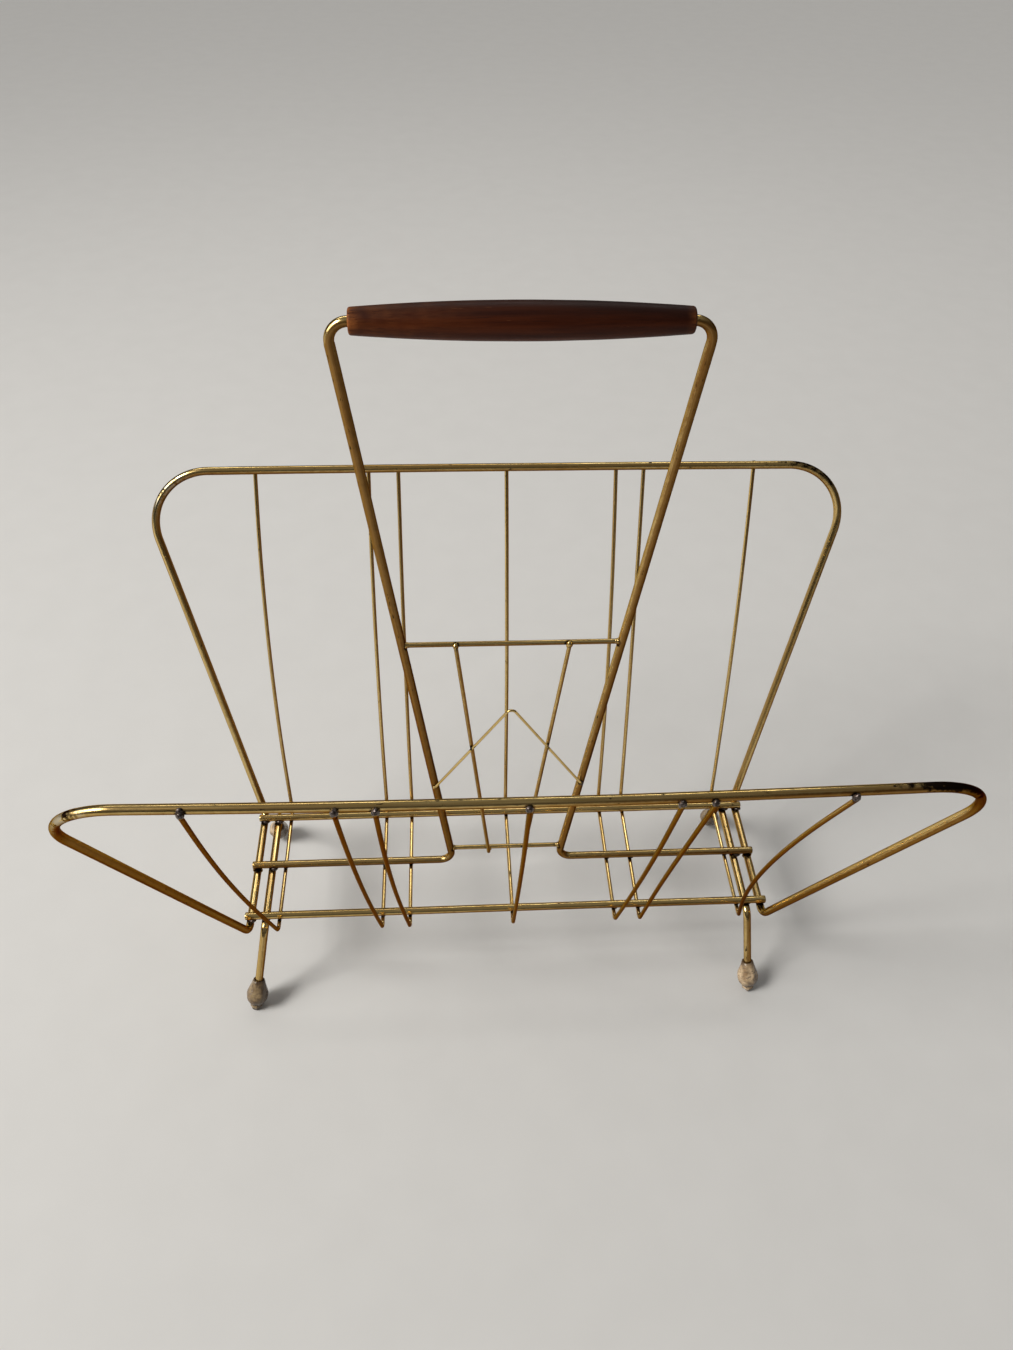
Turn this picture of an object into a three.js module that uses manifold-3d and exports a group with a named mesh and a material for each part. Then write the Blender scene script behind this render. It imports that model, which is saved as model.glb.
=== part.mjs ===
// A brass wire magazine rack with a turned wooden grip.
//
// Frame: millimetres, +X to the right along the rails, +Y to the back, +Z up.
// Origin: on the floor, under the middle of the rack.
//
// Two rod panels lean outwards from a narrow base and carry seven thin basket wires.
// Two U-shaped leg rods hold the base off the floor on four acorn feet, and a tall
// handle rod with a captive grip stands on the middle of the base and divides the rack.

import * as THREE from 'three';
import { mergeVertices } from 'three/addons/utils/BufferGeometryUtils.js';
import Module from 'manifold-3d';

// ---------------------------------------------------------------- driving dimensions

const rodRadius = 2.5;          // frame, legs, floor bars and handle
const wireRadius = 1.25;        // basket wires
const gap = 0.3;                // left between pieces that touch

const barHeight = 63;           // centre of the three floor bars
const barSpacing = 40;          // from the middle floor bar to the front or rear one
const barHalfLength = 173.3;

const railHeight = 294;         // centre of the front and back top rails
const railReach = 131.5;        // how far out the middle of each rail is
const railBow = { front: 3, back: 1 };
const railBowReach = 150;       // the bow is spread this far to each side of the middle
const railCornerX = 226.5;      // where rail and side rod would meet if unrounded
const railCornerBend = 36;
const frameRunX = 170.6;
const frameCornerY = 48.3;      // where the frame turns up from its floor run
const smallBend = 8;

const legRunX = 160.7;
const legCornerY = 46;
const footX = { left: -172, right: 166 };   // the left leg splays a little more
const footY = 73.5;

// Each basket wire was bent and placed by hand, so each has its own x on the base and on
// the two rails, its own sideways bow in its front and back stretches, and its own length
// past the rails.
const basketWires = [
  { baseX: -151.5, front: { x: -152.4, bow: -6.8, past: 2 }, back: { x: -153.5, bow: -6.2, past: 0.8 } },
  { baseX: -83.5, front: { x: -86.5, bow: -3.2, past: 2.2 }, back: { x: -83.7, bow: -2.1, past: 0.8 } },
  { baseX: -65.5, front: { x: -68.6, bow: -3.7, past: 2.2 }, back: { x: -65.2, bow: -1, past: 0.8 } },
  { baseX: 2.5, front: { x: -1.2, bow: 0.9, past: 0.8 }, back: { x: 2.7, bow: 1, past: 0.8 } },
  { baseX: 70.5, front: { x: 66.9, bow: 2.7, past: 0.8 }, back: { x: 72, bow: 3.1, past: 0.8 } },
  { baseX: 87, front: { x: 82, bow: -1.8, past: 0.8 }, back: { x: 89.7, bow: 1, past: 0.8 } },
  { baseX: 154, front: { x: 145.9, bow: -19.9, past: 1.2 }, back: { x: 160.1, bow: 3.1, past: 1.7 } },
];
const wireBowReach = 100;       // a bow is spread this far up and down from its middle
const wireCornerY = 49;
const wireBend = 5;

const gripHeight = 448;         // centre of the grip
const gripLean = 11;            // how far back the grip is from the middle floor bar
const gripHalfLength = 75.4;
const gripRadius = 8.6;
const gripEndRadius = 5.9;
const gripEndChamfer = 1.2;
const gripBoreRadius = 3;
const handleFootX = 36.4;       // where the handle turns up from its two feet
const handleTopX = 85.6;
const handleTopBend = 9;

const dividerBarRadius = 1.5;
const dividerTopHeight = 261.5;
const dividerBottomHeight = 76;
const dividerWireRadius = 1.2;
const dividerWireTopX = 31.8;
const dividerWireBottomX = 11.9;
const dividerWirePast = 2.2;    // how far these wires pass the lower bar
const chevronRadius = 0.8;
const chevronFootHeight = 143.5;
const chevronApexHeight = 218;
const chevronApexBend = 3;
const chevronStandOff = 4;      // its apex stands this much further forward than its feet

const footLength = 26;
const footTipRadius = 1.7;
const footNubRadius = 3.1;
const footNubLength = 5.6;
const footBulbRadius = 7;
const footBulbHeight = 12.4;
const footNeckHeight = 20.5;
const footCollarRadius = 3.8;
const footSocketRadius = 2.9;
const footSocketDepth = 17;
const footWear = 1.2;           // how much of the tip is worn away where it stands

const bendStep = 0.26;          // radians of a bend in each facet
const fewestBendSteps = 4;
const rodSides = 12;
const wireSides = 8;

const brassColour = 0xb08d4a;
const thinBrassColour = 0xb89a55;
const woodColour = 0x5a2411;
const footColour = 0xcbb48a;

// ---------------------------------------------------------------- derived dimensions

const runHeight = barHeight - 2 * rodRadius - gap;
const wireRunHeight = barHeight - rodRadius - wireRadius - gap;
const handleLean = Math.atan2(gripLean, gripHeight - barHeight);
const handleRise = Math.hypot(gripLean, gripHeight - barHeight);

// ---------------------------------------------------------------- bent rods

// A route of straight stretches joined by round bends, stepped at its stations.
class RodRoute extends THREE.Curve {
  constructor(stations) {
    super();
    this.stations = stations;
  }

  atStation(t, key, target) {
    const place = t * (this.stations.length - 1);
    const before = Math.min(Math.floor(place), this.stations.length - 2);
    const from = this.stations[before][key];
    const to = this.stations[before + 1][key];
    return target.lerpVectors(from, to, place - before);
  }

  getPoint(t, target = new THREE.Vector3()) {
    return this.atStation(t, 'point', target);
  }

  getTangent(t, target = new THREE.Vector3()) {
    return this.atStation(t, 'tangent', target).normalize();
  }

  getPointAt(t, target) {
    return this.getPoint(t, target);
  }

  getTangentAt(t, target) {
    return this.getTangent(t, target);
  }
}

// The stations of one round bend at a corner of the route.
function bendStations(before, corner, after, radius) {
  const incoming = corner.clone().sub(before).normalize();
  const outgoing = after.clone().sub(corner).normalize();
  const turn = incoming.angleTo(outgoing);
  const axis = incoming.clone().cross(outgoing).normalize();
  const inward = axis.clone().cross(incoming);
  const tangentLength = radius * Math.tan(turn / 2);
  const start = corner.clone().addScaledVector(incoming, -tangentLength);
  const centre = start.clone().addScaledVector(inward, radius);
  const stepCount = Math.max(fewestBendSteps, Math.ceil(turn / bendStep));
  const stations = [];
  for (let step = 0; step <= stepCount; step += 1) {
    const angle = (turn * step) / stepCount;
    const spoke = start.clone().sub(centre).applyAxisAngle(axis, angle);
    stations.push({
      point: centre.clone().add(spoke),
      tangent: incoming.clone().applyAxisAngle(axis, angle),
    });
  }
  return stations;
}

// corners: [x, y, z, bendRadius] for every corner, and [x, y, z] for the two ends.
function rodRoute(corners) {
  const points = corners.map(([x, y, z]) => new THREE.Vector3(x, y, z));
  const last = points.length - 1;
  const direction = (from, to) => to.clone().sub(from).normalize();
  const stations = [{ point: points[0], tangent: direction(points[0], points[1]) }];
  for (let i = 1; i < last; i += 1) {
    stations.push(...bendStations(points[i - 1], points[i], points[i + 1], corners[i][3]));
  }
  stations.push({ point: points[last], tangent: direction(points[last - 1], points[last]) });
  return new RodRoute(stations);
}

function roundSection(radius, sides) {
  const outline = [];
  for (let i = 0; i < sides; i += 1) {
    const angle = (2 * Math.PI * i) / sides;
    outline.push(new THREE.Vector2(radius * Math.cos(angle), radius * Math.sin(angle)));
  }
  return new THREE.Shape(outline);
}

function rodGeometry(corners, radius) {
  const route = rodRoute(corners);
  const sides = radius < rodRadius ? wireSides : rodSides;
  return new THREE.ExtrudeGeometry(roundSection(radius, sides), {
    extrudePath: route,
    steps: route.stations.length - 1,
    bevelEnabled: false,
  });
}

// ---------------------------------------------------------------- materials and meshes

function finish(color, metalness, roughness) {
  return new THREE.MeshStandardMaterial({ color, metalness, roughness });
}

const brass = () => finish(brassColour, 1, 0.35);
const thinBrass = () => finish(thinBrassColour, 1, 0.3);
const footMaterial = () => finish(footColour, 0, 0.6);
const wood = () => finish(woodColour, 0, 0.45);

function addMesh(parent, name, geometry, material) {
  const mesh = new THREE.Mesh(geometry, material);
  mesh.name = name;
  parent.add(mesh);
  return mesh;
}

const rack = new THREE.Group();

// ---------------------------------------------------------------- frame

// One half of the outer frame: half of each floor run, two side rods and a top rail.
// side is -1 for the front panel and +1 for the back panel.
function panelRod(side, bow) {
  const cornerY = railReach - bow;
  const bowDepth = bow / (1 - railBowReach / (2 * railCornerX));
  const bowBend = (railBowReach * railCornerX) / bowDepth;
  const left = [
    [-frameRunX, side * gap, runHeight],
    [-frameRunX, side * frameCornerY, runHeight, smallBend],
    [-railCornerX, side * cornerY, railHeight, railCornerBend],
  ];
  const middle = [[0, side * (cornerY + bowDepth), railHeight, bowBend]];
  const right = left.map(([x, ...rest]) => [-x, ...rest]).reverse();
  return rodGeometry([...left, ...middle, ...right], rodRadius);
}

addMesh(rack, 'front_frame_rod', panelRod(-1, railBow.front), brass());
addMesh(rack, 'back_frame_rod', panelRod(1, railBow.back), brass());

// ---------------------------------------------------------------- legs and feet

// Where the rod of one leg bends down, the direction it then takes, and the two ends of
// the foot on it, for the rear foot. The front foot mirrors it.
function legLayout(floorX) {
  const top = new THREE.Vector3(Math.sign(floorX) * legRunX, legCornerY, runHeight);
  const floor = new THREE.Vector3(floorX, footY, 0);
  const down = floor.clone().sub(top).normalize();
  const tip = floor.clone().addScaledVector(down, footWear);
  const rodEnd = tip.clone().addScaledVector(down, footSocketDepth - footLength - gap);
  return { top, floor, down, tip, rodEnd };
}

function legRod({ top, rodEnd }) {
  const rear = [
    [rodEnd.x, rodEnd.y, rodEnd.z],
    [top.x, top.y, top.z, smallBend],
  ];
  const front = rear.map(([x, y, ...rest]) => [x, -y, ...rest]).reverse();
  return rodGeometry([...rear, ...front], rodRadius);
}

// The foot's outline from its tip up: a small nub, a round bulb, a neck and a collar,
// then down into the blind socket that the leg rod is pushed into.
function footGeometry() {
  const socketFloor = footLength - footSocketDepth;
  const nubSwell = (footNubLength - footWear) / 2;
  const bulbSwell = footNubLength + footWear;
  const neckSwell = (footBulbHeight + footNeckHeight) / 2;
  const outline = new THREE.Path();
  outline.moveTo(0, 0);
  outline.lineTo(footTipRadius, 0);
  outline.quadraticCurveTo(footNubRadius, nubSwell, footNubRadius, footNubLength);
  outline.quadraticCurveTo(footBulbRadius, bulbSwell, footBulbRadius, footBulbHeight);
  outline.quadraticCurveTo(footBulbRadius, neckSwell, footCollarRadius, footNeckHeight);
  outline.lineTo(footCollarRadius, footLength);
  outline.lineTo(footSocketRadius, footLength);
  outline.lineTo(footSocketRadius, socketFloor);
  outline.lineTo(0, socketFloor);
  const curveSteps = 5;
  const sides = 20;
  return new THREE.LatheGeometry(outline.getPoints(curveSteps), sides);
}

const wasm = await Module();
wasm.setup();

function solidFrom(geometry) {
  const bare = geometry.clone();
  bare.deleteAttribute('normal');
  bare.deleteAttribute('uv');
  const merged = mergeVertices(bare, 1e-4);
  return new wasm.Manifold(new wasm.Mesh({
    numProp: 3,
    vertProperties: new Float32Array(merged.attributes.position.array),
    triVerts: new Uint32Array(merged.index.array),
  }));
}

function geometryFrom(solid) {
  const mesh = solid.getMesh();
  const geometry = new THREE.BufferGeometry();
  geometry.setAttribute('position', new THREE.BufferAttribute(mesh.vertProperties, 3));
  geometry.setIndex(new THREE.BufferAttribute(mesh.triVerts, 1));
  geometry.computeVertexNormals();
  return geometry;
}

// A foot in its place, with the part of its tip below the floor worn away.
function wornFoot({ down, tip, floor }, side) {
  const upright = new THREE.Vector3(0, 1, 0);
  const up = new THREE.Vector3(-down.x, -side * down.y, -down.z);
  const geometry = footGeometry();
  geometry.applyQuaternion(new THREE.Quaternion().setFromUnitVectors(upright, up));
  geometry.translate(tip.x, side * tip.y, tip.z);
  const wornSize = 4 * footBulbRadius;
  const wornAway = new THREE.BoxGeometry(wornSize, wornSize, wornSize);
  wornAway.translate(floor.x, side * floor.y, -wornSize / 2);
  return geometryFrom(solidFrom(geometry).subtract(solidFrom(wornAway)));
}

for (const side of ['left', 'right']) {
  const layout = legLayout(footX[side]);
  addMesh(rack, `leg_rod_${side}`, legRod(layout), brass());
  addMesh(rack, `foot_front_${side}`, wornFoot(layout, -1), footMaterial());
  addMesh(rack, `foot_rear_${side}`, wornFoot(layout, 1), footMaterial());
}

// ---------------------------------------------------------------- basket

function floorBar(y) {
  const ends = [[-barHalfLength, y, barHeight], [barHalfLength, y, barHeight]];
  return rodGeometry(ends, rodRadius);
}

addMesh(rack, 'front_floor_bar', floorBar(-barSpacing), brass());
addMesh(rack, 'rear_floor_bar', floorBar(barSpacing), brass());

// The end of a wire, which lies against the outer side of a rail and passes it a little.
function wireEnd({ x, past }, baseX, side, bow) {
  const railY = side * (railReach - bow * (x / railCornerX) ** 2);
  const end = new THREE.Vector3(x, railY, railHeight);
  const base = new THREE.Vector3(baseX, side * wireCornerY, wireRunHeight);
  const down = base.sub(end).normalize();
  const outward = new THREE.Vector3(side, 0, 0).cross(down).normalize();
  end.addScaledVector(outward, rodRadius + wireRadius + gap);
  return end.addScaledVector(down, -past);
}

// One stretch of a wire, from its end on a rail to its corner on the base.
function wireStretch(baseX, stretch, side, railBowDepth) {
  const end = wireEnd(stretch, baseX, side, railBowDepth);
  const corner = new THREE.Vector3(baseX, side * wireCornerY, wireRunHeight);
  const middle = end.clone().lerp(corner, 0.5);
  const bowBend = (wireBowReach * end.distanceTo(middle)) / Math.abs(stretch.bow);
  return [
    [end.x, end.y, end.z],
    [middle.x + stretch.bow, middle.y, middle.z, bowBend],
    [corner.x, corner.y, corner.z, wireBend],
  ];
}

function basketWire({ baseX, front, back }) {
  const frontStretch = wireStretch(baseX, front, -1, railBow.front);
  const backStretch = wireStretch(baseX, back, 1, railBow.back).reverse();
  return rodGeometry([...frontStretch, ...backStretch], wireRadius);
}

basketWires.forEach((wire, i) => {
  addMesh(rack, `basket_wire_${i + 1}`, basketWire(wire), thinBrass());
});

// ---------------------------------------------------------------- handle and divider

// Everything in this group is drawn upright, with z counted from the middle floor bar,
// and leans back about that bar.
const handlePlane = new THREE.Group();
handlePlane.position.z = barHeight;
handlePlane.rotation.x = -handleLean;
rack.add(handlePlane);

// Lengths along the leaning plane from heights above the floor.
function along(height) {
  return (height - barHeight) / Math.cos(handleLean);
}

function handleX(height) {
  return handleFootX + ((handleTopX - handleFootX) * along(height)) / handleRise;
}

const handleRight = [
  [handleTopX, 0, handleRise, handleTopBend],
  [handleFootX, 0, 0, smallBend],
  [barHalfLength, 0, 0],
];
const handleLeft = handleRight.map(([x, ...rest]) => [-x, ...rest]).reverse();
addMesh(handlePlane, 'handle_rod', rodGeometry([...handleLeft, ...handleRight], rodRadius), brass());

// A divider bar ends square where the handle slopes, so its upper edge sets its length.
function dividerBar(height) {
  const slope = (handleTopX - handleFootX) / handleRise;
  const reach = handleX(height) - Math.hypot(1, slope) * (rodRadius + gap) - slope * dividerBarRadius;
  return rodGeometry([[-reach, 0, along(height)], [reach, 0, along(height)]], dividerBarRadius);
}

addMesh(handlePlane, 'divider_top_bar', dividerBar(dividerTopHeight), thinBrass());
addMesh(handlePlane, 'divider_bottom_bar', dividerBar(dividerBottomHeight), thinBrass());

// The two divider wires lie on the front of both bars and pass the lower one a little.
const dividerWireY = -(dividerBarRadius + dividerWireRadius + gap);

function dividerWire(side) {
  const top = along(dividerTopHeight);
  const bottom = along(dividerBottomHeight - dividerWirePast);
  const ends = [
    [side * dividerWireTopX, dividerWireY, top],
    [side * dividerWireBottomX, dividerWireY, bottom],
  ];
  return rodGeometry(ends, dividerWireRadius);
}

addMesh(handlePlane, 'divider_wire_left', dividerWire(-1), thinBrass());
addMesh(handlePlane, 'divider_wire_right', dividerWire(1), thinBrass());

// The chevron is welded to the front of the handle and leans out to clear the wires.
function chevron() {
  const endX = handleX(chevronFootHeight);
  const endY = -(rodRadius + chevronRadius + gap);
  const corners = [
    [-endX, endY, along(chevronFootHeight)],
    [0, endY - chevronStandOff, along(chevronApexHeight), chevronApexBend],
    [endX, endY, along(chevronFootHeight)],
  ];
  return rodGeometry(corners, chevronRadius);
}

addMesh(handlePlane, 'divider_chevron', chevron(), thinBrass());

// The grip is a bored cigar shape that turns on the handle rod between its two bends.
function gripGeometry() {
  const rimRadius = gripEndRadius - gripEndChamfer;
  const swellHalfLength = gripHalfLength - gripEndChamfer;
  const swellSteps = 14;
  const sides = 24;
  const outline = [
    new THREE.Vector2(gripBoreRadius, -gripHalfLength),
    new THREE.Vector2(rimRadius, -gripHalfLength),
  ];
  for (let step = 0; step <= swellSteps; step += 1) {
    const place = -1 + (2 * step) / swellSteps;
    const radius = gripRadius - (gripRadius - gripEndRadius) * place * place;
    outline.push(new THREE.Vector2(radius, place * swellHalfLength));
  }
  outline.push(new THREE.Vector2(rimRadius, gripHalfLength));
  outline.push(new THREE.Vector2(gripBoreRadius, gripHalfLength));
  outline.push(outline[0].clone());
  return new THREE.LatheGeometry(outline, sides);
}

const grip = addMesh(handlePlane, 'grip', gripGeometry(), wood());
grip.position.z = handleRise;
grip.rotation.z = -Math.PI / 2;

export default rack;
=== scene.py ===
import math
import random

import bpy
import numpy as np
from mathutils import Matrix, Vector, noise


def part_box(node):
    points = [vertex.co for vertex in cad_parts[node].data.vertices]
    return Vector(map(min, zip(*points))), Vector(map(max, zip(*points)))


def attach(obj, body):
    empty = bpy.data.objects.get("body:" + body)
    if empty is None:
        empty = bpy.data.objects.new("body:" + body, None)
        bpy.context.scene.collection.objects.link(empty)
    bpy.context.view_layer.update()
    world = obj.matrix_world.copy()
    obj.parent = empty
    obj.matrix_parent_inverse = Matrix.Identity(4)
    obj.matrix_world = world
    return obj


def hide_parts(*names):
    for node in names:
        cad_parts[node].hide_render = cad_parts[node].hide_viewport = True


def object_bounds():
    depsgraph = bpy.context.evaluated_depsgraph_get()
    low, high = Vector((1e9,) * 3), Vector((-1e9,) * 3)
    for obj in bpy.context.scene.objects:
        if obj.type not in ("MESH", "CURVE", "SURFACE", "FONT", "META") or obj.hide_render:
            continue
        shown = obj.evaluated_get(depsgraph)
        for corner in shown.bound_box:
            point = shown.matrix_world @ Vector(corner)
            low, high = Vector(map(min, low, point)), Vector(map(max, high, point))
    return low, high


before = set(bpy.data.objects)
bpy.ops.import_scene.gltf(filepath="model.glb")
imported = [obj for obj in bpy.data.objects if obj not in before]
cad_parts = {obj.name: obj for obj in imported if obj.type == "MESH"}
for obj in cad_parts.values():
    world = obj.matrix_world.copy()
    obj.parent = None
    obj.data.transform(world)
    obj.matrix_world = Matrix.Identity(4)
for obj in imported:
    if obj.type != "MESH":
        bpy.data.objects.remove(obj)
cad_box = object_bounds()

MM = 0.001

# ---------------------------------------------------------------- camera and light

CAMERA_PLACE = Vector((-0.0333, -0.4071, 0.6496))
CAMERA_YAW = 0.0737             # turned to the right of +Y
CAMERA_PITCH = 0.7846           # looking down
CAMERA_ROLL = 0.0307
CAMERA_LENS = 27.04             # on the usual 36 mm sensor
NEAREST_SEEN = 0.01

AREA_LIGHTS = [                 # name, place, width and height, watts, colour
    ("window_left", (-1.3, -0.25, 1.1), (0.9, 1.2), 10, (1.0, 0.98, 0.94)),
    ("soft_top", (-0.1, 1.1, 1.5), (1.8, 0.3), 5, (1.0, 0.98, 0.95)),
]
KEY_FROM = (-1.0, -0.3, 1.0)
KEY_STRENGTH = 1.9
KEY_WIDTH = math.radians(20)
KEY_COLOUR = (1.0, 0.985, 0.955)
SKY_LOW = (0.1, 0.098, 0.096, 1)
SKY_HIGH = (0.62, 0.61, 0.6, 1)
SKY_BLEND = (0.1, 0.8)          # the heights of a unit direction where low ends and high starts
SKY_STRENGTH = 0.3


def add_camera():
    data = bpy.data.cameras.new("camera")
    data.lens = CAMERA_LENS
    data.clip_start = NEAREST_SEEN
    camera = bpy.data.objects.new("camera", data)
    ahead = Vector((
        math.sin(CAMERA_YAW) * math.cos(CAMERA_PITCH),
        math.cos(CAMERA_YAW) * math.cos(CAMERA_PITCH),
        -math.sin(CAMERA_PITCH),
    ))
    level = Vector((math.cos(CAMERA_YAW), -math.sin(CAMERA_YAW), 0))
    right = Matrix.Rotation(CAMERA_ROLL, 3, -ahead) @ level
    up = right.cross(ahead)
    turn = Matrix((right, up, -ahead)).transposed().to_4x4()
    camera.matrix_world = Matrix.Translation(CAMERA_PLACE) @ turn
    bpy.context.scene.collection.objects.link(camera)
    bpy.context.scene.camera = camera


def add_area_light(name, place, size, watts, colour):
    """A soft rectangular light, aimed at the middle of the rack."""
    data = bpy.data.lights.new(name, "AREA")
    data.shape = "RECTANGLE"
    data.size, data.size_y = size
    data.energy = watts
    data.color = colour
    light = bpy.data.objects.new(name, data)
    light.location = place
    middle = (cad_box[0] + cad_box[1]) / 2
    light.rotation_euler = (middle - Vector(place)).to_track_quat("-Z", "Y").to_euler()
    bpy.context.scene.collection.objects.link(light)


def add_key_light():
    sun = bpy.data.lights.new("broad_key", "SUN")
    sun.energy = KEY_STRENGTH
    sun.angle = KEY_WIDTH
    sun.color = KEY_COLOUR
    key = bpy.data.objects.new("broad_key", sun)
    key.rotation_euler = Vector(KEY_FROM).to_track_quat("Z", "Y").to_euler()
    bpy.context.scene.collection.objects.link(key)


def add_world():
    """A plain grey room, paler overhead."""
    world = bpy.data.worlds.new("studio")
    world.use_nodes = True
    nodes = world.node_tree.nodes
    links = world.node_tree.links
    direction = nodes.new("ShaderNodeTexCoord")
    split = nodes.new("ShaderNodeSeparateXYZ")
    ramp = nodes.new("ShaderNodeValToRGB")
    for element, colour, place in zip(ramp.color_ramp.elements, (SKY_LOW, SKY_HIGH), SKY_BLEND):
        element.color = colour
        element.position = place
    links.new(direction.outputs["Generated"], split.inputs[0])
    links.new(split.outputs["Z"], ramp.inputs[0])
    links.new(ramp.outputs[0], nodes["Background"].inputs["Color"])
    nodes["Background"].inputs["Strength"].default_value = SKY_STRENGTH
    bpy.context.scene.world = world
    bpy.context.scene.view_settings.view_transform = "Standard"


# ---------------------------------------------------------------- material nodes

BRIGHT_SIDE = (-0.62, 0.15, 1.0)    # surfaces that face this way are darkened least; the darkening of surfaces facing away is painted shade, on the brass also tarnish and painted reflection

BRASS_POLISHED = (0.87, 0.66, 0.29, 1)
BRASS_WORN = (0.64, 0.43, 0.14, 1)
BRASS_BROWN = (0.27, 0.132, 0.034, 1)
BRASS_BLACK = (0.022, 0.013, 0.008, 1)
BRASS_TINT = (0.42, 0.26, 0.1, 1)
BARE_STEEL = (0.6, 0.55, 0.43, 1)
TARNISH_AND_REFLECTION_BROWNS = 0.46               # how far full browning, partly tarnish and partly painted reflection and shade, turns brass from its bright side to its dark one

WELD_SCALE = (0.03, 0.018, 0.016, 1)
WELD_GREY = (0.17, 0.14, 0.125, 1)

WOOD_DARK = (0.034, 0.0055, 0.0012, 1)
WOOD_RED = (0.095, 0.019, 0.0035, 1)
WOOD_PORES = (0.01, 0.002, 0.001, 1)
WOOD_SHADED = (0.008, 0.002, 0.001, 1)
WOOD_WORN = (0.32, 0.1, 0.022, 1)
WOOD_SCRATCHED = (0.3, 0.12, 0.05, 1)
GRAIN_SWAY = (0.0, 0.004, 0.004)    # how far the grain wanders off a straight line

DIRTY_PALE = (0.4, 0.29, 0.16, 1)
DIRTY_DEEP = (0.17, 0.11, 0.055, 1)
CREAM_PALE = (0.76, 0.57, 0.36, 1)
CREAM_DEEP = (0.34, 0.22, 0.115, 1)
PLASTIC_MOTTLE = (0.2, 0.125, 0.07, 1)
PLASTIC_SMEAR = (0.085, 0.05, 0.026, 1)
PLASTIC_SHADED = (0.06, 0.035, 0.018, 1)
# Painted shade in the feet's creases.
PLASTIC_CREASE_SHADE = (0.05, 0.03, 0.018, 1)

FLOOR_GREY = (0.68, 0.67, 0.65, 1)
FLOOR_PALE = (0.72, 0.71, 0.69, 1)


class Shader:
    """A new material's node tree, with short ways to add what the finishes below need."""

    def __init__(self, name):
        self.material = bpy.data.materials.new(name)
        self.material.use_nodes = True
        self.tree = self.material.node_tree
        self.surface = self.tree.nodes["Principled BSDF"]

    def add(self, kind, inputs=(), **settings):
        """A new node. Each input is a plain value or the output of another node."""
        node = self.tree.nodes.new(kind)
        for key, value in settings.items():
            setattr(node, key, value)
        for key, value in dict(inputs).items():
            self.feed(node.inputs[key], value)
        return node

    def feed(self, socket, value):
        if isinstance(value, bpy.types.NodeSocket):
            self.tree.links.new(value, socket)
        else:
            socket.default_value = value

    def attribute(self, name, output="Fac"):
        return self.add("ShaderNodeAttribute", attribute_name=name).outputs[output]

    def bright_side(self):
        """How squarely the surface faces the bright side: below 0 it faces away. The finishes paint
        shade on surfaces that face away.
        """
        facing = self.add("ShaderNodeNewGeometry").outputs["Normal"]
        inputs = {0: facing, 1: BRIGHT_SIDE}
        return self.add("ShaderNodeVectorMath", inputs, operation="DOT_PRODUCT").outputs["Value"]

    def noise(self, vector, scale, detail=2.0, roughness=0.5):
        inputs = {"Vector": vector, "Scale": scale, "Detail": detail, "Roughness": roughness}
        return self.add("ShaderNodeTexNoise", inputs).outputs["Fac"]

    def grain(self, along, lengthwise, crosswise, detail=2.0, roughness=0.5):
        """Noise drawn out along a piece. Its two scales are in swings a metre."""
        inputs = {"Vector": along, "Scale": (lengthwise, crosswise, crosswise)}
        drawn_out = self.add("ShaderNodeMapping", inputs).outputs["Vector"]
        return self.noise(drawn_out, 1.0, detail, roughness)

    def span(self, value, low, high, to_low=0.0, to_high=1.0):
        """Goes from to_low to to_high as the value goes from low to high, and no further."""
        inputs = {
            "Value": value, "From Min": low, "From Max": high, "To Min": to_low, "To Max": to_high,
        }
        return self.add("ShaderNodeMapRange", inputs).outputs["Result"]

    def total(self, a, b, clamp=True):
        """The sum, kept to 0 to 1 unless clamp is false."""
        return self.add("ShaderNodeMath", {0: a, 1: b}, use_clamp=clamp).outputs["Value"]

    def product(self, a, b):
        return self.add("ShaderNodeMath", {0: a, 1: b}, operation="MULTIPLY").outputs["Value"]

    def mix(self, share, a, b):
        """Colour a, with this share of it replaced by colour b."""
        node = self.add("ShaderNodeMix", data_type="RGBA")
        self.feed(node.inputs["Factor"], share)
        self.feed(node.inputs[6], a)
        self.feed(node.inputs[7], b)
        return node.outputs[2]

    def bump(self, height, distance, strength=1.0, under=None):
        inputs = {"Height": height, "Distance": distance, "Strength": strength}
        if under is not None:
            inputs["Normal"] = under
        return self.add("ShaderNodeBump", inputs).outputs["Normal"]

    def set(self, **values):
        """Sets inputs of the surface, with an underscore for each space in their names."""
        for key, value in values.items():
            self.feed(self.surface.inputs[key.replace("_", " ")], value)


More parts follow.
